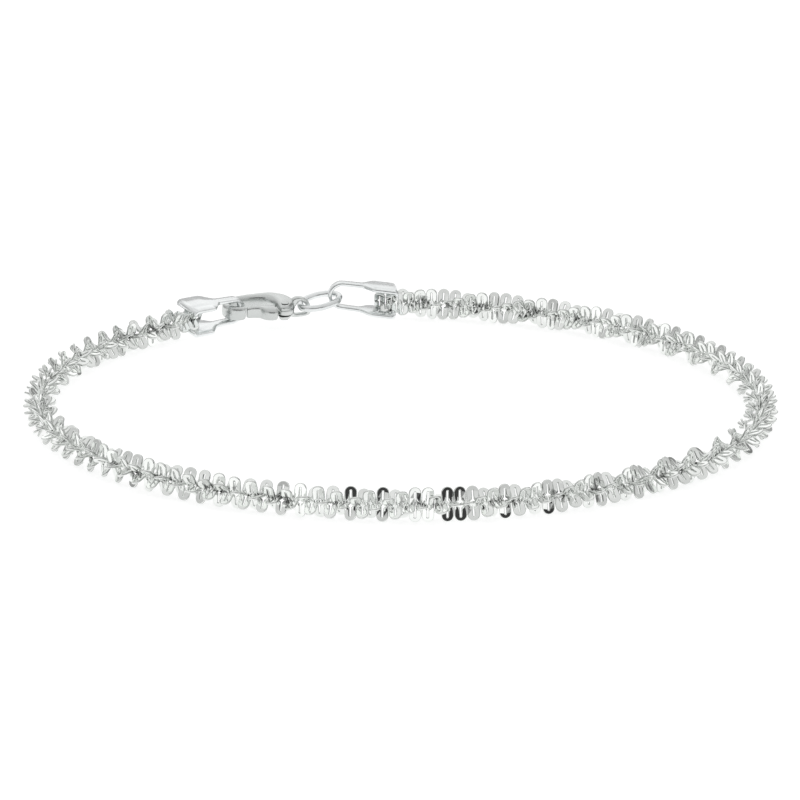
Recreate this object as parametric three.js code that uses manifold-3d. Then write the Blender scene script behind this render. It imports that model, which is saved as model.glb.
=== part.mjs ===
// A sparkle-chain bracelet, closed and lying in a ring, with a lobster clasp. Millimetres, +Z up.
// The surface it lies on is Z = 0 and the wrist goes through the middle of the ring along Z.
import * as THREE from "three";
import { mergeVertices } from "three/addons/utils/BufferGeometryUtils.js";
import Module from "manifold-3d";

const wasm = await Module();
wasm.setup();

// Ring: the chain's centre line, a little uneven as a chain lies, by angle from +X.
const ring = { radius: 29.45, startDeg: 126.2, endDeg: 453.4 };
const unevenness = [
  { waves: 2, sine: -0.36, cosine: 0 },
  { waves: 3, sine: -0.14, cosine: 0 },
  { waves: 4, sine: 0, cosine: 0.07 },
];

// Chain: flat oval links, each turned a quarter turn and the twist past the one before.
const chain = { reach: 1.375, nextReach: 1.0, waist: 0.62, pitch: 0.5, startTurnDeg: 38.8 };
// How far each link turns past a quarter turn, from an angle round the ring to the next row's.
const twist = [
  { fromDeg: 126, pastDeg: 22 },
  { fromDeg: 150, pastDeg: 20 },
  { fromDeg: 203, pastDeg: 21.2 },
  { fromDeg: 211, pastDeg: 23.5 },
  { fromDeg: 219, pastDeg: 25.7 },
  { fromDeg: 256, pastDeg: 24.3 },
  { fromDeg: 261.5, pastDeg: 18.2 },
  { fromDeg: 267.4, pastDeg: 16 },
  { fromDeg: 272.3, pastDeg: 0 },
  { fromDeg: 274.2, pastDeg: 33 },
  { fromDeg: 277, pastDeg: 0 },
  { fromDeg: 279.1, pastDeg: 3 },
  { fromDeg: 281.2, pastDeg: 16 },
  { fromDeg: 288.5, pastDeg: 10.8 },
  { fromDeg: 301, pastDeg: 13.2 },
  { fromDeg: 322, pastDeg: 12.2 },
  { fromDeg: 329, pastDeg: 16 },
  { fromDeg: 355, pastDeg: 15 },
  { fromDeg: 372, pastDeg: 14.2 },
  { fromDeg: 383, pastDeg: 12.4 },
  { fromDeg: 403, pastDeg: 10.8 },
  { fromDeg: 415, pastDeg: 8.7 },
];
const chainEnd = { links: 4, upReach: 0.36, sideReach: 1.2, waist: 0.36, rise: 0.22, riseLinks: 8 };

// End clips: a strip bent like a hairpin, its two wide ends clasping the chain's last links.
const clip = {
  length: 5.9, plateLength: 1.9, shoulderLength: 1.3, width: 3.0, bowWidth: 0.9,
  thickness: 0.3, height: 2.5, lip: 0.32, bowSteps: 8, shoulderSteps: 4,
};
const clipPlaces = [
  { name: "end_clip_left", bowHeight: 2.3, x: -18.36, y: 23.09, z: 1.8, yawDeg: 36, rollDeg: 9 },
  { name: "end_clip_right", bowHeight: 2.4, x: -0.4, y: 29.3, z: 1.65, yawDeg: 184.5, pitchDeg: 8.2 },
];

// Jump ring: an oval of round wire through the clasp's eye and the right clip's bow.
const jumpRing = { length: 4.2, width: 3.1, wire: 0.58, turns: 24, sides: 8 };
const jumpRingPlace = { x: -6.95, y: 28.47, z: 1.89, yawDeg: 25, pitchDeg: 9.7, rollDeg: 7 };

// Lobster clasp: its own x runs from the hook's round end to the eye, y across, z up.
const clasp = { thickness: 1.5 };
const arm = { thickness: 1.28, length: 4.1 };
const dome = { x: 3.9, halfLength: 6.4, halfWidth: 2.75, halfHeight: 0.8 };
const claspPlace = { x: -15.4, y: 26.1, z: 1.78, yawDeg: 14.5, rollDeg: 8 };
const pivot = { x: 5.35, y: -1.12, pin: 0.24, play: 0.07, head: 0.36, headRise: 0.06 };
const slot = { height: 0.74, reach: 1.05 };
const lever = { thickness: 1.16 };
const leverRoot = {
  thickness: 0.54, radius: 0.74, neckLength: 1.3, neckWidth: 0.95, neckX: -0.95, neckY: -0.16,
};
const eye = { thickness: 0.56, drop: 0.1 };

const deg = THREE.MathUtils.degToRad;
const up = new THREE.Vector3(0, 0, 1);

function silver(hex, roughness) {
  return new THREE.MeshStandardMaterial({ color: hex, roughness, metalness: 1 });
}

// Joins closed sections into one body. Each section runs anticlockwise about the way forward.
function loft(sections, closed = false) {
  const sides = sections[0].length;
  const corners = sections.flat();
  const faces = [];
  const spans = closed ? sections.length : sections.length - 1;
  for (let span = 0; span < spans; span += 1) {
    const here = span * sides;
    const next = ((span + 1) % sections.length) * sides;
    for (let side = 0; side < sides; side += 1) {
      const other = (side + 1) % sides;
      faces.push(here + side, here + other, next + other);
      faces.push(here + side, next + other, next + side);
    }
  }
  if (!closed) {
    const last = (sections.length - 1) * sides;
    const middle = (section) => section.reduce((sum, p) => sum.add(p), new THREE.Vector3())
      .divideScalar(sides);
    const startMiddle = corners.push(middle(sections[0])) - 1;
    const endMiddle = corners.push(middle(sections.at(-1))) - 1;
    for (let side = 0; side < sides; side += 1) {
      const other = (side + 1) % sides;
      faces.push(startMiddle, other, side);
      faces.push(endMiddle, last + side, last + other);
    }
  }
  const geometry = new THREE.BufferGeometry().setFromPoints(corners);
  geometry.setIndex(faces);
  geometry.computeVertexNormals();
  return geometry;
}

function toSolid(geometry) {
  const bare = geometry.clone();
  bare.deleteAttribute("normal");
  bare.deleteAttribute("uv");
  const merged = mergeVertices(bare, 1e-4);
  return new wasm.Manifold(new wasm.Mesh({
    numProp: 3,
    vertProperties: new Float32Array(merged.attributes.position.array),
    triVerts: new Uint32Array(merged.index.array),
  }));
}

function toGeometry(solid) {
  const mesh = solid.getMesh();
  const geometry = new THREE.BufferGeometry();
  geometry.setAttribute("position", new THREE.BufferAttribute(mesh.vertProperties, 3));
  geometry.setIndex(new THREE.BufferAttribute(mesh.triVerts, 1));
  geometry.computeVertexNormals();
  return geometry;
}

// A flat outline made thick about its own plane.
function slab(shape, thickness) {
  const settings = { depth: thickness, bevelEnabled: false, curveSegments: 3 };
  return new THREE.ExtrudeGeometry(shape, settings).translate(0, 0, -thickness / 2);
}

function ringPoint(angle, rise = 0) {
  const radius = unevenness.reduce((sum, wave) => sum
    + wave.sine * Math.sin(wave.waves * angle)
    + wave.cosine * Math.cos(wave.waves * angle), ring.radius);
  return new THREE.Vector3(radius * Math.cos(angle), radius * Math.sin(angle), chain.reach + rise);
}

// A four-armed section: the link's own ends reach furthest, its neighbour's a little less.
function starSection(centre, angle, turn, reach, nextReach, waist) {
  const along = ringPoint(angle + 0.001).sub(ringPoint(angle)).normalize();
  const outward = new THREE.Vector3().crossVectors(along, up);
  return Array.from({ length: 8 }, (_, corner) => {
    const radius = corner % 2 ? waist : [reach, nextReach][(corner / 2) % 2];
    const around = turn - corner * Math.PI / 4;
    return centre.clone()
      .addScaledVector(outward, radius * Math.cos(around))
      .addScaledVector(up, radius * Math.sin(around));
  });
}

function makeChain() {
  const spanDeg = ring.endDeg - ring.startDeg;
  const links = Math.round(deg(spanDeg) * ring.radius / chain.pitch);
  const angleDeg = (link) => ring.startDeg + spanDeg * link / links;
  const sections = [];
  let turn = deg(chain.startTurnDeg);
  for (let link = 0; link <= links; link += 1) {
    const angle = deg(angleDeg(link));
    const own = link % 2 ? chain.nextReach : chain.reach;
    const next = link % 2 ? chain.reach : chain.nextReach;
    const fromEnd = Math.min(link, links - link);
    const centre = ringPoint(angle, chainEnd.rise * Math.max(0, 1 - fromEnd / chainEnd.riseLinks));
    if (fromEnd < chainEnd.links) {
      const { sideReach, upReach, waist } = chainEnd;
      sections.push(starSection(centre, angle, 0, sideReach, upReach, waist));
    } else {
      sections.push(starSection(centre, angle, turn, own, next, chain.waist));
    }
    const row = twist.findLast(({ fromDeg }) => fromDeg <= angleDeg(link + 0.5));
    turn += deg(row.pastDeg);
  }
  return loft(sections);
}

// The strip's centre line from one lip round the bow to the other, with its width at each step.
function clipSteps(bowHeight) {
  const half = (clip.height - clip.thickness) / 2;
  const bowHalf = (bowHeight - clip.thickness) / 2;
  const bowStart = clip.length - clip.thickness / 2 - bowHalf;
  const leg = [
    { x: 0.1, z: half - clip.lip, width: clip.width - 0.1 },
    { x: 0.1, z: half - 0.1, width: clip.width - 0.04 },
    { x: 0.22, z: half, width: clip.width },
  ];
  for (let step = 0; step <= clip.shoulderSteps; step += 1) {
    const share = step / clip.shoulderSteps;
    const x = clip.plateLength + clip.shoulderLength * share;
    const ease = share * share * (3 - 2 * share);
    const closing = (x - clip.plateLength) / (bowStart - clip.plateLength);
    leg.push({
      x,
      z: half + (bowHalf - half) * closing,
      width: clip.width + (clip.bowWidth - clip.width) * ease,
    });
  }
  const bow = Array.from({ length: clip.bowSteps + 1 }, (_, step) => {
    const around = Math.PI * (0.5 - step / clip.bowSteps);
    return {
      x: bowStart + bowHalf * Math.cos(around),
      z: bowHalf * Math.sin(around),
      width: clip.bowWidth,
    };
  });
  const back = leg.map((step) => ({ ...step, z: -step.z })).reverse();
  return [...leg, ...bow, ...back];
}

function makeClip(bowHeight) {
  const steps = clipSteps(bowHeight);
  const sections = steps.map((step, index) => {
    const before = steps[Math.max(index - 1, 0)];
    const after = steps[Math.min(index + 1, steps.length - 1)];
    const along = new THREE.Vector3(after.x - before.x, 0, after.z - before.z).normalize();
    const across = new THREE.Vector3(0, 1, 0);
    const out = new THREE.Vector3().crossVectors(along, across);
    const centre = new THREE.Vector3(step.x, 0, step.z);
    const corner = (side, face) => centre.clone()
      .addScaledVector(across, side * step.width / 2)
      .addScaledVector(out, face * clip.thickness / 2);
    return [corner(-1, -1), corner(-1, 1), corner(1, 1), corner(1, -1)].reverse();
  });
  return loft(sections);
}

function makeJumpRing() {
  const long = (jumpRing.length - jumpRing.wire) / 2;
  const wide = (jumpRing.width - jumpRing.wire) / 2;
  const sections = Array.from({ length: jumpRing.turns }, (_, turn) => {
    const angle = 2 * Math.PI * turn / jumpRing.turns;
    const centre = new THREE.Vector3(long * Math.cos(angle), wide * Math.sin(angle), 0);
    const along = new THREE.Vector3(-long * Math.sin(angle), wide * Math.cos(angle), 0).normalize();
    const outward = new THREE.Vector3().crossVectors(along, up);
    return Array.from({ length: jumpRing.sides }, (_, side) => {
      const around = -2 * Math.PI * side / jumpRing.sides;
      return centre.clone()
        .addScaledVector(outward, jumpRing.wire / 2 * Math.cos(around))
        .addScaledVector(up, jumpRing.wire / 2 * Math.sin(around));
    });
  });
  return loft(sections, true);
}

function splineShape(start, ...stretches) {
  const shape = new THREE.Shape();
  shape.moveTo(...start);
  for (const stretch of stretches) {
    if (stretch.length === 1) {
      shape.lineTo(...stretch[0]);
    } else {
      shape.splineThru(stretch.map(([x, y]) => new THREE.Vector2(x, y)));
    }
  }
  return shape;
}

// The fixed claw: hook and long back arm, a broad shoulder and a short neck before the eye.
function clawShape() {
  return splineShape(
    [1.85, -1.38],
    [[1.3, -1.42], [0.45, -1.12], [0, -0.1], [0.55, 1.05], [1.9, 1.55], [3.6, 1.82],
      [4.9, 1.72], [5.8, 1.25], [6.4, 0.45]],
    [[6.4, -0.45]],
    [[6.2, -1.05], [5.9, -1.62], [5.35, -1.92], [4.85, -1.88]],
    [[4.7, -1.2]],
    [[4.72, -0.5], [4.55, 0.2], [3.95, 0.8], [3.0, 1.0], [1.75, 0.82], [1.0, 0.42],
      [0.75, -0.15], [1.05, -0.66], [1.55, -0.8]],
    [[1.85, -0.82]],
  );
}

// The lever: a thinner bar from beside the nose, and a thumb tab before the hinge.
function leverShape() {
  return splineShape(
    [1.97, -0.78],
    [[2.9, -0.78], [3.7, -0.74], [4.3, -0.62]],
    [[4.48, -1.05]],
    [[4.54, -1.5], [4.62, -2.0], [4.3, -2.2], [3.8, -2.12]],
    [[3.4, -1.75], [3.15, -1.36], [2.6, -1.24], [1.97, -1.28]],
  );
}

// The eye stands on edge behind the shoulder: a rounded triangle, flat side down.
function makeEye() {
  const shape = splineShape(
    [6.1, -0.9],
    [[6.5, -1.02], [7.35, -1.0], [7.8, -0.82], [7.96, -0.45], [7.76, 0.3], [7.2, 0.8],
      [6.5, 0.8]],
    [[6.1, 0.6]],
  );
  const hole = splineShape(
    [6.52, -0.68],
    [[7.36, -0.68]],
    [[7.54, -0.56], [7.52, -0.3], [7.42, 0.16], [7.0, 0.46]],
    [[6.6, 0.2], [6.42, -0.4], [6.4, -0.56], [6.52, -0.68]],
  );
  shape.holes.push(hole);
  return slab(shape, eye.thickness).rotateX(Math.PI / 2).translate(0, 0, -eye.drop);
}

function cylinder(radius, height) {
  return new THREE.CylinderGeometry(radius, radius, height, 16)
    .rotateX(Math.PI / 2)
    .translate(pivot.x, pivot.y, 0);
}

// Claw and eye are cast in one; a level slot at the shoulder takes the lever's root.
function makeClaspBody() {
  const claw = toSolid(slab(clawShape(), clasp.thickness));
  const trim = 2 * arm.length;
  const trimBox = new THREE.BoxGeometry(trim, trim, trim);
  const trimHeight = (arm.thickness + trim) / 2;
  const domed = new THREE.SphereGeometry(1, 24, 12)
    .scale(dome.halfLength, dome.halfWidth, dome.halfHeight)
    .translate(dome.x, 0, 0);
  const slotCut = new THREE.CylinderGeometry(slot.reach, slot.reach, slot.height, 24)
    .rotateX(Math.PI / 2)
    .translate(pivot.x, pivot.y, 0);
  return toGeometry(claw
    .intersect(toSolid(domed))
    .subtract(toSolid(trimBox.clone().translate(0, 0, trimHeight)))
    .subtract(toSolid(trimBox.clone().translate(0, 0, -trimHeight)))
    .add(toSolid(makeEye()))
    .subtract(toSolid(slotCut))
    .subtract(toSolid(cylinder(pivot.pin + pivot.play, 2 * clasp.thickness))));
}

function makeLever() {
  const { thickness, radius, neckLength, neckWidth, neckX, neckY } = leverRoot;
  const root = new THREE.CylinderGeometry(radius, radius, thickness, 24)
    .rotateX(Math.PI / 2)
    .translate(pivot.x, pivot.y, 0);
  const neck = new THREE.BoxGeometry(neckLength, neckWidth, thickness)
    .translate(pivot.x + neckX, pivot.y + neckY, 0);
  return toGeometry(toSolid(slab(leverShape(), lever.thickness))
    .add(toSolid(neck))
    .add(toSolid(root))
    .subtract(toSolid(cylinder(pivot.pin + pivot.play, 2 * clasp.thickness))));
}

// A pin with a low round head above and below the shoulder.
function makeRivet() {
  const half = clasp.thickness / 2;
  const top = half + pivot.headRise;
  const outline = [
    [0, -top], [pivot.head, -top], [pivot.head, -half], [pivot.pin, -half],
    [pivot.pin, half], [pivot.head, half], [pivot.head, top], [0, top],
  ];
  return new THREE.LatheGeometry(outline.map(([x, y]) => new THREE.Vector2(x, y)), 16)
    .rotateX(Math.PI / 2)
    .translate(pivot.x, pivot.y, 0);
}

function place(object, { x, y, z, yawDeg = 0, pitchDeg = 0, rollDeg = 0 }) {
  object.position.set(x, y, z);
  object.rotation.set(deg(rollDeg), -deg(pitchDeg), deg(yawDeg), "ZYX");
  return object;
}

function part(name, geometry, hex, roughness) {
  const mesh = new THREE.Mesh(geometry, silver(hex, roughness));
  mesh.name = name;
  return mesh;
}

const bracelet = new THREE.Group();
bracelet.add(part("chain", makeChain(), 0xe9e9e6, 0.12));
for (const spot of clipPlaces) {
  bracelet.add(place(part(spot.name, makeClip(spot.bowHeight), 0xe4e4e0, 0.16), spot));
}
bracelet.add(place(part("jump_ring", makeJumpRing(), 0xe4e4e0, 0.14), jumpRingPlace));

const claspGroup = place(new THREE.Group(), claspPlace);
claspGroup.add(part("clasp_body", makeClaspBody(), 0xe2e2de, 0.16));
claspGroup.add(part("clasp_lever", makeLever(), 0xdededa, 0.18));
claspGroup.add(part("clasp_rivet", makeRivet(), 0xd8d8d4, 0.22));
bracelet.add(claspGroup);

// The origin is the middle of the whole bracelet's box, on the surface it lies on.
bracelet.updateMatrixWorld(true);
const box = new THREE.Box3().setFromObject(bracelet, true);
bracelet.position.set(-(box.min.x + box.max.x) / 2, -(box.min.y + box.max.y) / 2, -box.min.z);

export default bracelet;
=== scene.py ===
import math
import random

import bpy
from mathutils import Matrix, Vector


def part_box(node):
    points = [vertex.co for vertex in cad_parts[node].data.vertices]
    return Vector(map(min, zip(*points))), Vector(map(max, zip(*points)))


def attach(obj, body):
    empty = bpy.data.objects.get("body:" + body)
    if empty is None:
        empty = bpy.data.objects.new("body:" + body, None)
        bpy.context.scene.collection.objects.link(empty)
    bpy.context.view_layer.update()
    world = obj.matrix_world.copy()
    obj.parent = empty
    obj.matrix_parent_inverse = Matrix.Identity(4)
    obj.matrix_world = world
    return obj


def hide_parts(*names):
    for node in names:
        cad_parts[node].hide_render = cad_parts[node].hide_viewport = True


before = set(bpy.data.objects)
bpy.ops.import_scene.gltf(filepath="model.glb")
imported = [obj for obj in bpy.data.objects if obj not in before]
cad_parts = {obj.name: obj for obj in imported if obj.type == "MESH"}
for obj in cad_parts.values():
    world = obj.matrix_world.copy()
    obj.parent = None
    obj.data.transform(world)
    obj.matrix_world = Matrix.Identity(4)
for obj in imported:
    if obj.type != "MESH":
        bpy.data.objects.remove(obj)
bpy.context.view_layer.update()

mm = 0.001
up = Vector((0, 0, 1))


cameraSettings = {
    "distance": 474 * mm,
    "elevation": 16.2,      # degrees above the surface
    "lens": 260.1,          # mm
    "sensor": 36,           # mm across
    "aimHeight": 1.2 * mm,  # how high above the surface it looks
    "nearest": 0.01,        # what it sees, in metres
    "farthest": 20,
}


def makeCamera(settings):
    data = bpy.data.cameras.new("camera")
    data.sensor_width = settings["sensor"]
    data.lens = settings["lens"]
    data.clip_start = settings["nearest"]
    data.clip_end = settings["farthest"]
    camera = bpy.data.objects.new("camera", data)
    bpy.context.scene.collection.objects.link(camera)
    tilt = math.radians(settings["elevation"])
    back = Vector((0, -math.cos(tilt), math.sin(tilt)))
    aim = Vector((0, 0, settings["aimHeight"]))
    turn = back.to_track_quat("Z", "Y").to_matrix().to_4x4()
    camera.matrix_world = Matrix.Translation(aim + back * settings["distance"]) @ turn
    bpy.context.scene.camera = camera


makeCamera(cameraSettings)
print("camera placed")


ringSettings = {"radius": 29.45 * mm, "start": 126.2, "end": 453.4}  # angles in degrees from +X
unevenness = [  # how the ring strays from a circle
    {"waves": 2, "sine": -0.36 * mm, "cosine": 0},
    {"waves": 3, "sine": -0.14 * mm, "cosine": 0},
    {"waves": 4, "sine": 0, "cosine": 0.07 * mm},
]
linkReach = 1.375 * mm  # half of a link's length, and the chain's own radius


def ringRadius(angle):
    stray = sum(w["sine"] * math.sin(w["waves"] * angle) + w["cosine"] * math.cos(w["waves"] * angle)
                for w in unevenness)
    return ringSettings["radius"] + stray


def ringPoint(angle, reach=0.0, rise=0.0):
    radius = ringRadius(angle) + reach
    return Vector((radius * math.cos(angle), radius * math.sin(angle), linkReach + rise))


def shiftToFrame():
    # the CAD chain's box says where the middle of the ring is
    low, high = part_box("chain")
    rim = [ringPoint(math.radians(a), linkReach) for a in range(360)]
    shift = Vector((0, 0, 0))
    for axis in (0, 1):
        values = [p[axis] for p in rim]
        shift[axis] = (low[axis] + high[axis]) / 2 - (min(values) + max(values)) / 2
    return shift


frameShift = shiftToFrame()
print("ring shift in mm", [round(v / mm, 3) for v in frameShift])


def addObject(name, mesh, body="root"):
    piece = bpy.data.objects.new(name, mesh)
    bpy.context.scene.collection.objects.link(piece)
    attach(piece, body)
    return piece


def makeMesh(name, points, faces, smooth=None):
    mesh = bpy.data.meshes.new(name)
    mesh.from_pydata([tuple(p) for p in points], [], faces)
    mesh.polygons.foreach_set("use_smooth", smooth or [True] * len(faces))
    mesh.update()
    return mesh


def finishPiece(piece, kind, node):
    # its silver, its colour slot and the CAD solid that it stands for
    piece.data.materials.append(silver[kind])
    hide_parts(node)


def addValues(mesh, name, values):
    # a number per point, for the material to read
    attribute = mesh.attributes.new(name, "FLOAT", "POINT")
    attribute.data.foreach_set("value", values)


def loft(sections, closed=False):
    # points and faces of a body through sections that run anticlockwise about the way forward
    sides = len(sections[0])
    points = [p for section in sections for p in section]
    faces = []
    spans = len(sections) if closed else len(sections) - 1
    for span in range(spans):
        here = span * sides
        following = (span + 1) % len(sections) * sides
        for side in range(sides):
            other = (side + 1) % sides
            faces.append((here + side, here + other, following + other, following + side))
    if not closed:
        last = (len(sections) - 1) * sides
        faces.append(tuple(reversed(range(sides))))
        faces.append(tuple(range(last, last + sides)))
    return points, faces


def throughRows(rows, steps, closed=False):
    # smooth values between rows of numbers, each row passed exactly
    count = len(rows)
    spans = count if closed else count - 1
    found = []
    for span in range(spans):
        picks = [span - 1, span, span + 1, span + 2]
        picks = [p % count if closed else min(max(p, 0), count - 1) for p in picks]
        a, b, c, d = (rows[p] for p in picks)
        for step in range(steps):
            t = step / steps
            found.append([
                0.5 * (2 * q + (r - p) * t + (2 * p - 5 * q + 4 * r - s) * t * t
                       + (3 * q - 3 * r + s - p) * t ** 3)
                for p, q, r, s in zip(a, b, c, d)])
    if not closed:
        found.append(list(rows[-1]))
    return found


def placeMatrix(place):
    # from a place in mm and its yaw, pitch and roll in degrees
    yaw, pitch, roll = (math.radians(turn) for turn in place["turns"])
    turn = Matrix.Rotation(yaw, 4, "Z") @ Matrix.Rotation(-pitch, 4, "Y") @ Matrix.Rotation(roll, 4, "X")
    return Matrix.Translation(Vector(place["at"]) * mm + frameShift) @ turn


class Value:
    # wraps a socket, so that sums on it add Math nodes

    def __init__(self, maker, socket):
        self.maker = maker
        self.socket = socket

    def combine(self, operation, first, second):
        return self.maker.add("ShaderNodeMath", {"operation": operation}, {0: first, 1: second})

    def __add__(self, other):
        return self.combine("ADD", self, other)

    def __radd__(self, other):
        return self.combine("ADD", other, self)

    def __sub__(self, other):
        return self.combine("SUBTRACT", self, other)

    def __mul__(self, other):
        return self.combine("MULTIPLY", self, other)

    def __rmul__(self, other):
        return self.combine("MULTIPLY", other, self)


class NodeMaker:
    # makes the nodes of one material, or of the world

    def __init__(self, tree):
        self.tree = tree
        tree.nodes.clear()

    def add(self, kind, settings=None, inputs=None, output=0):
        node = self.tree.nodes.new(kind)
        for name, value in (settings or {}).items():
            if name == "stops":
                self.setStops(node.color_ramp, value)
            else:
                setattr(node, name, value)
        for name, value in (inputs or {}).items():
            if isinstance(value, Value):
                self.tree.links.new(value.socket, node.inputs[name])
            else:
                node.inputs[name].default_value = value
        return Value(self, node.outputs[output]) if len(node.outputs) else node

    def mixColours(self, share, first, second):
        colours = [c if isinstance(c, Value) else (*c, 1) for c in (first, second)]
        return self.add("ShaderNodeMix", {"data_type": "RGBA"}, {
            "Factor": share, 6: colours[0], 7: colours[1]}, output=2)

    def setStops(self, ramp, stops):
        while len(ramp.elements) < len(stops):
            ramp.elements.new(1)
        for element, (place, colour) in zip(ramp.elements, stops):
            element.position = place
            element.color = (*colour, 1)


silverKinds = {
    "chain": {"colour": (0.93, 0.95, 0.93), "shade": (0.8, 0.82, 0.8), "low": 0.02, "high": 0.06,
              "grain": 900, "bump": 0.02, "wallShadePaint": 0.34, "speckShade": 0.55},
    "clip": {"colour": (0.88, 0.9, 0.9), "shade": (0.76, 0.78, 0.78), "low": 0.14, "high": 0.28,
             "grain": 1400, "bump": 0.03, "wallShadePaint": 0, "speckShade": 0},
    "clasp": {"colour": (0.68, 0.7, 0.69), "shade": (0.56, 0.58, 0.57), "low": 0.18, "high": 0.34,
              "grain": 1100, "bump": 0.04, "wallShadePaint": 0, "speckShade": 0},
}
silverDetail = {  # what all silvers share
    "detail": 3,
    "broad": 6,                # how many times broader the patches of shade are than the grain
    "patchFrom": 0.42,
    "patchFull": 0.62,
    "patchShare": 0.4,         # of the shade, where each link has a tone of its own
    # painted highlight: the silver is lighter towards each link's core
    "core": (0.97, 0.98, 0.97),
    "coreHighlightShare": 0.5,
    # painted shade colour for the side walls
    "wall": (0.12, 0.13, 0.12),
    # painted shade: dark spots mixed in near the core
    "speck": (0.05, 0.055, 0.05),
    "speckDepth": 0.36,        # how much the painted shade of dark spots gathers towards the core
    "speckFrom": 0.82,
    "speckFull": 0.9,
    "bumpHeight": 0.02 * mm,
}


def makeSilver(name, kind, detail):
    material = bpy.data.materials.new(name)
    material.use_nodes = True
    make = NodeMaker(material.node_tree)
    place = make.add("ShaderNodeTexCoord", output=3)
    cloud = make.add("ShaderNodeTexNoise", {}, {
        "Vector": place, "Scale": kind["grain"], "Detail": detail["detail"]})
    broad = make.add("ShaderNodeTexNoise", {}, {
        "Vector": place, "Scale": kind["grain"] / detail["broad"]})
    patch = make.add("ShaderNodeMapRange", {}, {
        "Value": broad, "From Min": detail["patchFrom"], "From Max": detail["patchFull"]})
    if kind["wallShadePaint"]:
        tone = make.add("ShaderNodeAttribute", {"attribute_name": "tone"}, output=2)
        patch = patch * detail["patchShare"] + tone
    tint = make.mixColours(patch, kind["colour"], kind["shade"])
    if kind["wallShadePaint"]:
        wall = make.add("ShaderNodeAttribute", {"attribute_name": "wall"}, output=2)
        depth = make.add("ShaderNodeAttribute", {"attribute_name": "depth"}, output=2)
        speck = make.add("ShaderNodeMapRange", {"interpolation_type": "SMOOTHSTEP"}, {
            "Value": depth * detail["speckDepth"] + cloud,
            "From Min": detail["speckFrom"], "From Max": detail["speckFull"]})
        # painted highlight: lighter towards each link's core
        tint = make.mixColours(depth * detail["coreHighlightShare"], tint, detail["core"])
        # painted shade on the side walls
        tint = make.mixColours(wall * kind["wallShadePaint"], tint, detail["wall"])
        # painted shade in dark spots that gather towards the core
        tint = make.mixColours(speck * kind["speckShade"], tint, detail["speck"])
    rough = kind["low"] + (kind["high"] - kind["low"]) * cloud
    bump = make.add("ShaderNodeBump", {}, {
        "Height": cloud, "Strength": kind["bump"], "Distance": detail["bumpHeight"]})
    shader = make.add("ShaderNodeBsdfPrincipled", {}, {
        "Base Color": tint, "Metallic": 1.0, "Roughness": rough, "Normal": bump})
    make.add("ShaderNodeOutputMaterial", {}, {"Surface": shader})
    return material


silver = {name: makeSilver(f"silver_{name}", kind, silverDetail) for name, kind in silverKinds.items()}
print("silver mixed")


chainSettings = {
    "pitch": 0.5 * mm,
    "halfWidth": 0.49 * mm,       # of a link, along the chain
    "thickness": 0.2 * mm,
    "coreThickness": 0.3 * mm,    # where it isn't pressed flat
    "slotWide": 0.27 * mm,        # half of the slot where the next links pass
    "slotNarrow": 0.058 * mm,     # half of the slot in the flat ends
    "passing": 0.16 * mm,         # half of the wide slot's length
    "band": 0.35 * mm,            # the flat end's width
    "pressedFrom": 4,             # times the passing, where a link is wholly flat
    "twist": 9,                   # degrees, each flat end like a propeller's blade
    "coreWall": 0.2,              # how much of the side walls' painted shade shows at the core
    "tipWall": 0.3,               # and at a link's tips
    "endSteps": 6,
    "startTurn": 38.8,            # degrees
    "lean": 2.2,                  # degrees, how loosely each link sits
    "swivel": 0.3,                # share of that looseness within a link's own plane
    "endLinks": 4,
    "endReach": 0.76,             # share of a link's length inside the clips
    "endTilt": 38,                # degrees from upright there, to either side by turns
    "endRise": 0.22 * mm,         # how far the clips lift the chain's ends
    "riseLinks": 8,
    "toneSpread": 0.7,            # how much the links differ in tone
    "parts": 4,
    "seed": 7,
}
twistRows = [  # from an angle round the ring on: degrees past a quarter turn from link to link,
    # and how much looser than usual each link turns about its own length
    {"from": 126, "past": 22, "loose": 4},
    {"from": 150, "past": 20, "loose": 4},
    {"from": 203, "past": 21.2, "loose": 4},
    {"from": 211, "past": 23.5, "loose": 4},
    {"from": 219, "past": 25.7, "loose": 4},
    {"from": 256, "past": 24.3, "loose": 0.5},
    {"from": 261.5, "past": 18.2, "loose": 0.5},
    {"from": 267.4, "past": 16, "loose": 0.5},
    {"from": 272.3, "past": 0, "loose": 0.5},
    {"from": 274.2, "past": 33, "loose": 0.5},
    {"from": 277, "past": 0, "loose": 0.5},
    {"from": 279.1, "past": 3, "loose": 0.5},
    {"from": 281.2, "past": 16, "loose": 0.5},
    {"from": 288.5, "past": 10.8, "loose": 0.5},
    {"from": 301, "past": 13.2, "loose": 4},
    {"from": 322, "past": 12.2, "loose": 4},
    {"from": 329, "past": 16, "loose": 4},
    {"from": 355, "past": 15, "loose": 4},
    {"from": 372, "past": 14.2, "loose": 4},
    {"from": 383, "past": 12.4, "loose": 4},
    {"from": 403, "past": 10.8, "loose": 4},
    {"from": 415, "past": 8.7, "loose": 4},
]
# each point's share of the side wall also weights the painted shade there
bandRows = [  # from the band's edge to its top: pressed flat, in shares of bevel and height, and
    # left round, in shares of width and height; how far each point is on the side wall
    {"flat": (0, 0.5), "round": (0, 0.2), "wall": 1},
    {"flat": (0.25, 0.86), "round": (0.16, 0.74), "wall": 0.5},
    {"flat": (0.62, 1), "round": (0.42, 1), "wall": 0},
]


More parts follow.
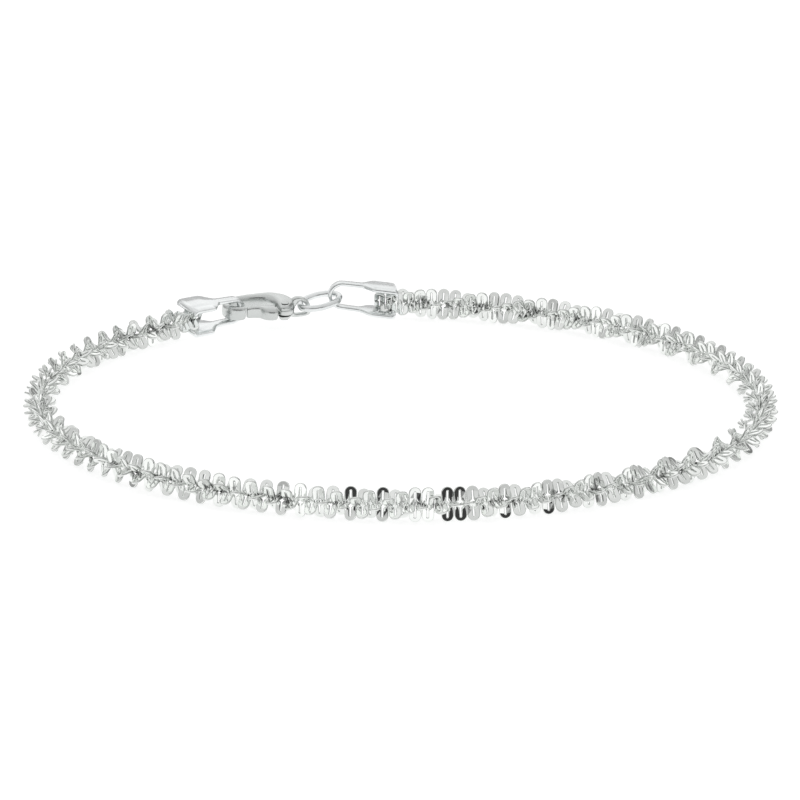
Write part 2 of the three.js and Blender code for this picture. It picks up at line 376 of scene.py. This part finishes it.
def linkStations(settings):
    # outer and inner edge of the band round one link: (long, along) each
    wide, passing = settings["halfWidth"], settings["passing"]
    narrow, slotWide = settings["slotNarrow"], settings["slotWide"]
    quarter = [
        ((0, wide), (0, slotWide)),
        ((passing, wide), (passing * 0.95, slotWide)),
        ((passing * 1.5, wide), (passing * 1.3, (slotWide + narrow) / 2)),
        ((passing * 2.2, wide), (passing * 1.75, narrow * 1.2)),
        ((passing * 3.4, wide), (passing * 3.2, narrow)),
    ]
    outerCentre = linkReach - wide
    innerCentre = linkReach - settings["band"] - narrow
    for step in range(settings["endSteps"] + 1):
        around = math.pi / 2 * step / settings["endSteps"]
        quarter.append((
            (outerCentre + wide * math.sin(around), wide * math.cos(around)),
            (innerCentre + narrow * math.sin(around), narrow * math.cos(around))))
    half = quarter + [((a, -b), (c, -d)) for (a, b), (c, d) in reversed(quarter[:-1])]
    return half + [((-a, b), (-c, d)) for (a, b), (c, d) in reversed(half[1:-1])]


def bandProfile(width, thick, bevel, pressed):
    # across the wire: (from its inner edge, height, how far on the side wall), anticlockwise
    edge = []
    for row in bandRows:
        (flatAlong, flatHigh), (roundAlong, roundHigh) = row["flat"], row["round"]
        along = flatAlong * bevel * pressed + roundAlong * width * (1 - pressed)
        edge.append((along, thick * (flatHigh * pressed + roundHigh * (1 - pressed)), row["wall"]))
    upper = edge + [(width - along, high, wall) for along, high, wall in reversed(edge)]
    lower = [(along, -high, wall) for along, high, wall in upper]
    return lower + list(reversed(upper))


def makeLink(settings):
    # one link about its own middle: x long, y along the chain, z through its thickness
    flat, core = settings["thickness"] / 2, settings["coreThickness"] / 2
    pressedFrom = settings["pressedFrom"] * settings["passing"]
    sections, walls = [], []
    for (outerX, outerY), (innerX, innerY) in linkStations(settings):
        outer, inner = Vector((outerX, outerY, 0)), Vector((innerX, innerY, 0))
        across = (outer - inner).normalized()
        pressed = min(1, abs(outerX) / pressedFrom) ** 2
        thick = core + (flat - core) * pressed
        profile = bandProfile((outer - inner).length, thick, flat, pressed)
        twist = math.radians(settings["twist"]) * max(-1, min(1, outerX / pressedFrom))
        twisted = Matrix.Rotation(twist, 3, "X")
        sections.append([twisted @ (inner + across * along + up * high)
                         for along, high, wall in profile])
        # painted shade on the side walls, weaker at the core and at the tips
        aside = settings["tipWall"] + (1 - settings["tipWall"]) * abs(across.y)
        shaded = min(1, settings["coreWall"] + pressed) * aside
        walls.extend(wall * shaded for along, high, wall in profile)
    points, faces = loft(sections, closed=True)
    # the walls and the unpressed middle are shaded smooth, the flat ends aren't
    rolled = [max(walls[corner] for corner in face) > 0
              or min(abs(points[corner].x) for corner in face) < pressedFrom / 2 for face in faces]
    return {"points": points, "faces": faces, "walls": walls, "rolled": rolled}


def linkPlaces(settings):
    # where each link lies: its middle, its axes and how much of its length shows
    start, end = math.radians(ringSettings["start"]), math.radians(ringSettings["end"])
    links = round((end - start) * ringSettings["radius"] / settings["pitch"])
    draw = random.Random(settings["seed"])
    turn = settings["startTurn"]
    tinyTurn = 0.001  # radians, to find the way along the chain
    places = []
    for link in range(links + 1):
        fromEnd = min(link, links - link)
        angle = start + link / links * (end - start)
        rise = settings["endRise"] * max(0, 1 - fromEnd / settings["riseLinks"])
        middle = ringPoint(angle, rise=rise)
        along = (ringPoint(angle + tinyTurn, rise=rise) - middle).normalized()
        outward = along.cross(up)
        scale = 1.0
        face = turn - 90.0 * (link % 2)
        if fromEnd < settings["endLinks"]:
            face = 90.0 + settings["endTilt"] * (-1) ** fromEnd
            scale = settings["endReach"]
        between = math.degrees(start + (link + 0.5) / links * (end - start))
        row = [row for row in twistRows if row["from"] <= between][-1]
        turn += row["past"]
        face = math.radians(face)
        long = outward * math.cos(face) + up * math.sin(face)
        through = long.cross(along)
        basis = Matrix((long, along, through)).transposed()
        lean = [math.radians(draw.gauss(0, settings["lean"])) for _ in range(3)]
        loose = (Matrix.Rotation(lean[0] * row["loose"], 3, "X") @ Matrix.Rotation(lean[1], 3, "Y")
                 @ Matrix.Rotation(lean[2] * settings["swivel"], 3, "Z"))
        places.append((middle + frameShift, basis @ loose, scale))
    return places


def makeChain(settings):
    link = makeLink(settings)
    places = linkPlaces(settings)
    size = math.ceil(len(places) / settings["parts"])
    depths = [max(0, 1 - abs(p.x) / linkReach) for p in link["points"]]
    draw = random.Random(settings["seed"])
    for part in range(settings["parts"]):
        points, faces, tones = [], [], []
        group = places[part * size:(part + 1) * size]
        for middle, basis, scale in group:
            base = len(points)
            points.extend(middle + basis @ Vector((p.x * scale, p.y, p.z)) for p in link["points"])
            faces.extend(tuple(base + corner for corner in face) for face in link["faces"])
            tones.extend([draw.uniform(0, settings["toneSpread"])] * len(link["points"]))
        name = f"chain_links_{part + 1}"
        mesh = makeMesh(name, points, faces, link["rolled"] * len(group))
        # where the side walls get painted shade
        addValues(mesh, "wall", link["walls"] * len(group))
        # how near each point is to the link's core, for the painted highlight and dark spots
        addValues(mesh, "depth", depths * len(group))
        addValues(mesh, "tone", tones)
        finishPiece(addObject(name, mesh), "chain", "chain")
        print(name, len(faces) * 2, "triangles")


makeChain(chainSettings)
print("chain linked")


clipSettings = {
    "length": 5.9 * mm, "plateLength": 1.9 * mm, "shoulderLength": 1.3 * mm,
    "width": 3.0 * mm, "bowWidth": 0.9 * mm, "thickness": 0.3 * mm, "height": 2.5 * mm,
    "lip": 0.32 * mm, "plateStart": 0.32 * mm, "legSteps": 36, "bowSteps": 20, "edge": 0.06 * mm,
}
lipRows = [  # along a plate's turned-in end: mm along, share of the lip's drop, mm off the width
    {"along": 0.10, "drop": 1, "narrower": 0.1},
    {"along": 0.09, "drop": 0.6, "narrower": 0.06},
    {"along": 0.12, "drop": 0.28, "narrower": 0.03},
    {"along": 0.20, "drop": 0.08, "narrower": 0},
]
clipPlaces = [  # turns: degrees of yaw, pitch and roll
    {"name": "end_clip_left", "bow": 2.3, "at": (-18.36, 23.09, 1.8), "turns": (36, 0, 9)},
    {"name": "end_clip_right", "bow": 2.4, "at": (-0.4, 29.3, 1.65), "turns": (184.5, 8.2, 0)},
]


def clipSteps(settings, bowHeight):
    # the strip's middle line from one lip round the bow to the other, with its width
    half = (settings["height"] - settings["thickness"]) / 2
    bowHalf = (bowHeight - settings["thickness"]) / 2
    bowStart = settings["length"] - settings["thickness"] / 2 - bowHalf
    lip, width, plate = settings["lip"], settings["width"], settings["plateLength"]
    leg = [(row["along"] * mm, half - lip * row["drop"], width - row["narrower"] * mm)
           for row in lipRows]
    plateStart = settings["plateStart"]
    for step in range(settings["legSteps"]):
        x = plateStart + (bowStart - plateStart) * step / settings["legSteps"]
        share = min(1, max(0, (x - plate) / settings["shoulderLength"]))
        ease = share * share * (3 - 2 * share)
        closing = max(0, (x - plate) / (bowStart - plate))
        leg.append((x, half + (bowHalf - half) * closing, width + (settings["bowWidth"] - width) * ease))
    bow = []
    for step in range(settings["bowSteps"] + 1):
        around = math.pi * (0.5 - step / settings["bowSteps"])
        bow.append((bowStart + bowHalf * math.cos(around), bowHalf * math.sin(around),
                    settings["bowWidth"]))
    return leg + bow + [(x, -z, w) for x, z, w in reversed(leg)]


def makeClip(settings, place):
    steps = clipSteps(settings, place["bow"] * mm)
    across = Vector((0, 1, 0))
    thick, edge = settings["thickness"] / 2, settings["edge"]
    sections = []
    for index, (x, z, width) in enumerate(steps):
        before = steps[max(index - 1, 0)]
        after = steps[min(index + 1, len(steps) - 1)]
        along = Vector((after[0] - before[0], 0, after[1] - before[1])).normalized()
        out = along.cross(across)
        centre = Vector((x, 0, z))
        half = width / 2
        profile = [(-half, -thick + edge), (-half + edge, -thick), (0, -thick),
                   (half - edge, -thick), (half, -thick + edge), (half, thick - edge),
                   (half - edge, thick), (0, thick), (-half + edge, thick),
                   (-half, thick - edge)]
        sections.append([centre + across * side + out * face for side, face in reversed(profile)])
    points, faces = loft(sections)
    matrix = placeMatrix(place)
    mesh = makeMesh(place["name"] + "_strip", [matrix @ p for p in points], faces)
    finishPiece(addObject(mesh.name, mesh), "clip", place["name"])


for clipPlace in clipPlaces:
    makeClip(clipSettings, clipPlace)
print("end clips bent")


jumpRingSettings = {"length": 4.2 * mm, "width": 3.1 * mm, "wire": 0.58 * mm, "steps": 64,
                    "sides": 16, "at": (-6.95, 28.47, 1.89), "turns": (25, 9.7, 7)}


def makeJumpRing(settings):
    wire = settings["wire"] / 2
    long, wide = settings["length"] / 2 - wire, settings["width"] / 2 - wire
    sections = []
    for turn in range(settings["steps"]):
        angle = 2 * math.pi * turn / settings["steps"]
        centre = Vector((long * math.cos(angle), wide * math.sin(angle), 0))
        along = Vector((-long * math.sin(angle), wide * math.cos(angle), 0)).normalized()
        outward = along.cross(up)
        sections.append([
            centre + outward * wire * math.cos(-2 * math.pi * side / settings["sides"])
            + up * wire * math.sin(-2 * math.pi * side / settings["sides"])
            for side in range(settings["sides"])])
    points, faces = loft(sections, closed=True)
    matrix = placeMatrix(settings)
    mesh = makeMesh("jump_ring_wire", [matrix @ p for p in points], faces)
    finishPiece(addObject(mesh.name, mesh), "clip", "jump_ring")


makeJumpRing(jumpRingSettings)
print("jump ring closed")


claspPlace = {"at": (-15.4, 26.1, 1.78), "turns": (14.5, 0, 8)}
pivotSettings = {"at": (5.35, -1.12), "pin": 0.24, "play": 0.07, "drill": 2.4, "sides": 40}
clawSettings = {"steps": 5, "sides": 28, "squareness": 2.9, "slotHeight": 0.62, "slotReach": 1.15,
                "sharpAngle": 40}  # lengths in mm
clawRows = [  # round the hook from its nose and along the far arm to the shoulder, in mm
    {"outer": (1.86, -1.29), "inner": (1.86, -0.90), "height": 0.96},
    {"outer": (1.72, -1.39), "inner": (1.76, -0.82), "height": 1.14},
    {"outer": (1.22, -1.41), "inner": (1.50, -0.80), "height": 1.22},
    {"outer": (0.45, -1.05), "inner": (1.03, -0.62), "height": 1.26},
    {"outer": (0.02, -0.10), "inner": (0.76, -0.14), "height": 1.26},
    {"outer": (0.52, 0.98), "inner": (1.02, 0.44), "height": 1.26},
    {"outer": (1.80, 1.50), "inner": (1.85, 0.84), "height": 1.26},
    {"outer": (3.30, 1.78), "inner": (2.90, 1.00), "height": 1.28},
    {"outer": (4.80, 1.70), "inner": (3.95, 0.85), "height": 1.42},
    {"outer": (5.85, 1.12), "inner": (4.50, 0.30), "height": 1.46},
    {"outer": (6.36, 0.30), "inner": (4.72, -0.30), "height": 1.46},
    {"outer": (6.34, -0.55), "inner": (4.73, -0.72), "height": 1.46},
    {"outer": (6.10, -1.20), "inner": (4.72, -1.10), "height": 1.44},
    {"outer": (5.62, -1.78), "inner": (4.72, -1.42), "height": 1.36},
    {"outer": (5.15, -1.90), "inner": (4.76, -1.62), "height": 1.20},
    {"outer": (4.96, -1.87), "inner": (4.80, -1.72), "height": 1.00},
]
eyeRows = [  # the standing eye behind the shoulder, along and up, in mm
    {"outer": (6.15, -1.02), "inner": (6.50, -0.76), "height": 0.54},
    {"outer": (7.00, -1.11), "inner": (6.95, -0.78), "height": 0.54},
    {"outer": (7.76, -0.96), "inner": (7.44, -0.74), "height": 0.53},
    {"outer": (7.95, -0.52), "inner": (7.55, -0.46), "height": 0.52},
    {"outer": (7.74, 0.20), "inner": (7.38, 0.08), "height": 0.52},
    {"outer": (7.18, 0.68), "inner": (7.02, 0.35), "height": 0.53},
    {"outer": (6.40, 0.70), "inner": (6.72, 0.18), "height": 0.54},
    {"outer": (5.90, 0.00), "inner": (6.46, -0.35), "height": 0.54},
]
leverRows = [  # from beside the nose, round the thumb tab to the hinge, in mm
    {"outer": (2.00, -1.18), "inner": (2.00, -0.86), "height": 0.80},
    {"outer": (2.14, -1.25), "inner": (2.14, -0.79), "height": 1.00},
    {"outer": (2.70, -1.22), "inner": (2.75, -0.79), "height": 1.06},
    {"outer": (3.15, -1.36), "inner": (3.20, -0.78), "height": 1.12},
    {"outer": (3.45, -1.80), "inner": (3.50, -0.77), "height": 1.14},
    {"outer": (3.80, -2.09), "inner": (3.80, -0.75), "height": 1.14},
    {"outer": (4.25, -2.17), "inner": (4.08, -0.71), "height": 1.14},
    {"outer": (4.54, -2.03), "inner": (4.26, -0.74), "height": 1.12},
    {"outer": (4.54, -1.65), "inner": (4.36, -0.90), "height": 0.90},
]
rivetRows = [  # from under the head to its crown, in mm
    {"radius": 0.24, "height": 0.745},
    {"radius": 0.36, "height": 0.75},
    {"radius": 0.33, "height": 0.775},
    {"radius": 0.24, "height": 0.80},
    {"radius": 0.10, "height": 0.81},
]
leverRoot = {"thickness": 0.54, "radius": 0.74, "neck": (3.9, 4.95), "neckSides": (-1.45, -0.81)}


def armSections(rows, settings, third, closed=False):
    # rounded sections between an outer and an inner edge, their height along the third axis
    flat = [[*row["outer"], *row["inner"], row["height"]] for row in rows]
    sections = []
    for outerU, outerV, innerU, innerV, height in throughRows(flat, settings["steps"], closed):
        outer, inner = third((outerU, outerV)), third((innerU, innerV))
        middle, half = (outer + inner) / 2, (outer - inner) / 2
        section = []
        for side in range(settings["sides"]):
            angle = 2 * math.pi * side / settings["sides"]
            across, high = (math.copysign(abs(v) ** (2 / settings["squareness"]), v)
                            for v in (math.cos(angle), math.sin(angle)))
            section.append((middle + half * across + third(None) * (height / 2 * high)) * mm)
        sections.append(section)
    return sections


def levelAxes(point):
    return up.copy() if point is None else Vector((point[0], point[1], 0))


def standingAxes(point):
    return Vector((0, -1, 0)) if point is None else Vector((point[0], 0, point[1]))


def joined(bodies):
    points, faces = [], []
    for bodyPoints, bodyFaces in bodies:
        base = len(points)
        points.extend(bodyPoints)
        faces.extend(tuple(base + corner for corner in face) for face in bodyFaces)
    return points, faces


def turned(rings):
    # an upright round body about the pivot from its radius at each height
    sides = pivotSettings["sides"]
    middle = Vector((*pivotSettings["at"], 0))
    return loft([[(middle + Vector((r * math.cos(a), r * math.sin(a), z))) * mm
                  for a in (2 * math.pi * side / sides for side in range(sides))]
                 for r, z in rings])


def disc(radius, height, bevelShare=0.2):
    bevel = min(radius, height) * bevelShare
    half = [(radius, height / 2 - bevel), (radius - bevel, height / 2)]
    return turned([(r, -z) for r, z in reversed(half)] + half)


def cutAway(mesh, cutters):
    # takes the cutters' bodies out of the mesh
    scene = bpy.context.scene
    target = bpy.data.objects.new("uncut", mesh)
    scene.collection.objects.link(target)
    tools = []
    for points, faces in cutters:
        tool = bpy.data.objects.new("cutter", makeMesh("cutter", points, faces))
        scene.collection.objects.link(tool)
        cut = target.modifiers.new("cut", "BOOLEAN")
        cut.operation, cut.solver, cut.object = "DIFFERENCE", "EXACT", tool
        tools.append(tool)
    view = bpy.context.evaluated_depsgraph_get()
    result = bpy.data.meshes.new_from_object(target.evaluated_get(view))
    for thing in [target, *tools]:
        bpy.data.objects.remove(thing)
    name = mesh.name
    bpy.data.meshes.remove(mesh)
    result.name = name
    return result


def makeClasp():
    matrix = placeMatrix(claspPlace)
    hole = disc(pivotSettings["pin"] + pivotSettings["play"], pivotSettings["drill"])
    slotCut = disc(clawSettings["slotReach"], clawSettings["slotHeight"])

    arm = loft(armSections(clawRows, clawSettings, levelAxes))
    body = cutAway(makeMesh("claw_body", *arm), [slotCut, hole])
    eye = loft(armSections(eyeRows, clawSettings, standingAxes, closed=True), closed=True)
    eyeMesh = makeMesh("claw_eye", *eye)

    lever = loft(armSections(leverRows, clawSettings, levelAxes))
    leverMesh = makeMesh("claw_lever", *lever)
    low, high = leverRoot["neckSides"]
    thick = leverRoot["thickness"] / 2
    neck = loft([[Vector((x, y, z)) * mm
                  for y, z in ((low, -thick), (high, -thick), (high, thick), (low, thick))]
                 for x in leverRoot["neck"]])
    root = disc(leverRoot["radius"], leverRoot["thickness"])
    rootMesh = cutAway(makeMesh("lever_root", *joined([neck, root])), [hole])

    pin = [(row["radius"], row["height"]) for row in rivetRows]
    rivet = makeMesh("rivet_pin", *turned([(r, -z) for r, z in reversed(pin)] + pin))
    for mesh, rides, node in (
            (body, "root", "clasp_body"), (eyeMesh, "root", "clasp_body"),
            (rivet, "root", "clasp_rivet"),
            (leverMesh, "lever", "clasp_lever"), (rootMesh, "lever", "clasp_lever")):
        mesh.transform(matrix)
        mesh.set_sharp_from_angle(angle=math.radians(clawSettings["sharpAngle"]))
        finishPiece(addObject(mesh.name, mesh, rides), "clasp", node)


makeClasp()
print("clasp built")


studioSettings = {
    "floorSize": 6.0,  # metres
    "floorColour": (0.45, 0.45, 0.45), "floorGlow": 0.74, "floorRoughness": 0.9, "floorSheen": 0.1,
}
tentSettings = {
    "strength": 0.95,
    "tent": [(0.0, (0.7, 0.7, 0.7)), (0.25, (0.8, 0.8, 0.8)), (0.6, (0.92, 0.92, 0.92)),
             (0.9, (1, 1, 1))],
    "folds": 4, "foldShade": 0.76, "foldLow": 0.35, "foldHigh": 0.65,
}
tentPanels = [  # bright sheets and dark openings of the tent: degrees, and the change of light
    {"azimuth": 90, "elevation": 22, "width": 60, "height": 50, "soft": 30, "gain": 0.35},
    {"azimuth": -86, "elevation": 12, "width": 60, "height": 17, "soft": 3, "gain": -0.93},
    {"azimuth": 45, "elevation": 18, "width": 26, "height": 30, "soft": 10, "gain": -0.7},
    {"azimuth": 165, "elevation": 6, "width": 16, "height": 16, "soft": 14, "gain": -0.4},
]


def makeFloor(settings):
    half = settings["floorSize"] / 2
    corners = [(-half, -half, 0), (half, -half, 0), (half, half, 0), (-half, half, 0)]
    floor = bpy.data.objects.new("floor", makeMesh("floor", corners, [(0, 1, 2, 3)]))
    bpy.context.scene.collection.objects.link(floor)
    material = bpy.data.materials.new("pale_floor")
    material.use_nodes = True
    make = NodeMaker(material.node_tree)
    shader = make.add("ShaderNodeBsdfPrincipled", {}, {
        "Base Color": (*settings["floorColour"], 1), "Roughness": settings["floorRoughness"],
        "Specular IOR Level": settings["floorSheen"],
        "Emission Color": (1, 1, 1, 1), "Emission Strength": settings["floorGlow"]})
    make.add("ShaderNodeOutputMaterial", {}, {"Surface": shader})
    floor.data.materials.append(material)


def makeWorld(settings, panels):
    world = bpy.data.worlds.new("studio")
    bpy.context.scene.world = world
    world.use_nodes = True
    make = NodeMaker(world.node_tree)
    direction = make.add("ShaderNodeTexCoord", output=0)
    height = make.add("ShaderNodeSeparateXYZ", {}, {"Vector": direction}, output=2)
    tent = make.add("ShaderNodeValToRGB", {"stops": settings["tent"]}, {"Fac": height})
    mottle = make.add("ShaderNodeTexNoise", {}, {"Vector": direction, "Scale": settings["folds"]})
    light = make.add("ShaderNodeMapRange", {}, {
        "Value": mottle, "From Min": settings["foldLow"], "From Max": settings["foldHigh"],
        "To Min": settings["foldShade"]})
    elevation = make.add("ShaderNodeMath", {"operation": "ARCSINE"}, {0: height})
    for panel in panels:
        turned = make.add("ShaderNodeVectorRotate", {"rotation_type": "Z_AXIS"}, {
            "Vector": direction, "Angle": -math.radians(panel["azimuth"])})
        ahead = make.add("ShaderNodeSeparateXYZ", {}, {"Vector": turned}, output=0)
        aside = make.add("ShaderNodeSeparateXYZ", {}, {"Vector": turned}, output=1)
        azimuth = make.add("ShaderNodeMath", {"operation": "ARCTAN2"}, {0: aside, 1: ahead})
        strength = None
        for angle, middle, extent in ((azimuth, 0, panel["width"]),
                                      (elevation, panel["elevation"], panel["height"])):
            off = make.add("ShaderNodeMath", {"operation": "ABSOLUTE"}, {
                0: angle - math.radians(middle)})
            inside = make.add("ShaderNodeMapRange", {"interpolation_type": "SMOOTHSTEP"}, {
                "Value": off, "From Min": math.radians(extent / 2 + panel["soft"]),
                "From Max": math.radians(extent / 2)})
            strength = inside if strength is None else strength * inside
        light = light * (1 + panel["gain"] * strength)
    background = make.add("ShaderNodeBackground", {}, {
        "Color": tent, "Strength": settings["strength"] * light})
    make.add("ShaderNodeOutputWorld", {}, {"Surface": background})


makeFloor(studioSettings)
makeWorld(tentSettings, tentPanels)
bpy.context.scene.view_settings.view_transform = "Standard"
print("studio set")
